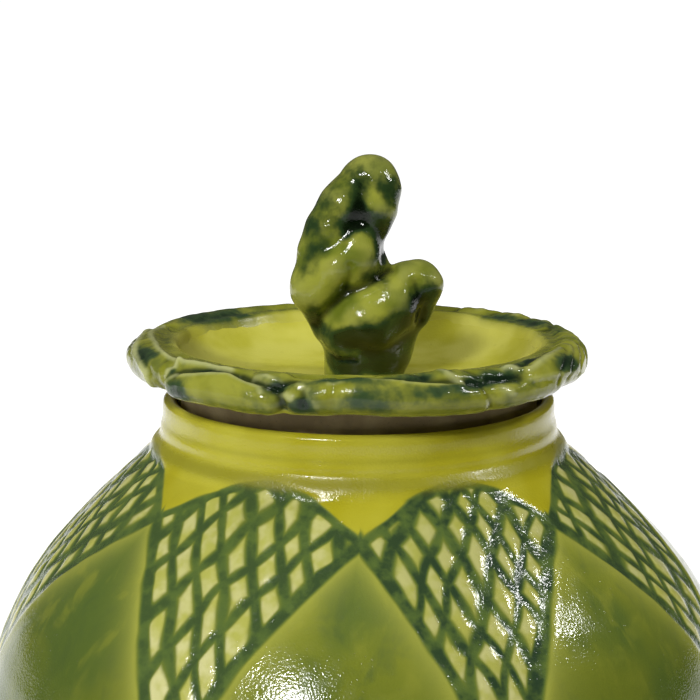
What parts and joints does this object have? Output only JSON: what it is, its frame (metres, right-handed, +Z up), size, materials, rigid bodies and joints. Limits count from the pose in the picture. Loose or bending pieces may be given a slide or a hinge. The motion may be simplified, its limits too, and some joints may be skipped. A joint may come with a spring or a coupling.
{
  "type": "ginger jar",
  "caption": "Round-bellied lidded ginger jar in glazed stoneware, its drop-in dish lid edged and knobbed with modelled ginger root.",
  "frame": {"origin": "centre of the foot ring's underside, on the jar's axis", "axes": "+Z up along the jar's axis, -Y towards the front, +X to the right as seen from the front"},
  "size_m": [0.211, 0.211, 0.2632],
  "materials": {
    "leaf_glaze": "glossy leaf-green glaze, darker in the carving",
    "lime_glaze": "glossy lime-yellow glaze",
    "pale_glaze": "glossy pale lime glaze",
    "root_glaze": "glossy mottled dark green over yellow-green glaze",
    "bare_clay": "unglazed grey-brown stoneware"
  },
  "bodies": {
    "jar": {"jar_body": "leaf_glaze", "foot_ring": "leaf_glaze", "neck_collar": "lime_glaze"},
    "lid_seat": {"lid_flange": "bare_clay"},
    "lid": {"lid_dish": "pale_glaze", "rim_root_1": "root_glaze", "rim_root_2": "root_glaze", "rim_root_3": "root_glaze", "rim_root_4": "root_glaze", "rim_root_5": "root_glaze", "rim_root_6": "root_glaze", "rim_root_7": "root_glaze", "knob_stem": "root_glaze", "knob_finger": "root_glaze", "knob_bud": "root_glaze"}
  },
  "joints": [
    {"name": "lid_lift", "type": "slide", "parent": "jar", "child": "lid_seat", "axis": [0, 0, 1], "range_m": [0, 0.1]},
    {"name": "lid_turn", "type": "hinge", "parent": "lid_seat", "child": "lid", "pos_m": [0, 0, 0.203], "axis": [0, 0, 1], "continuous": true}
  ]
}
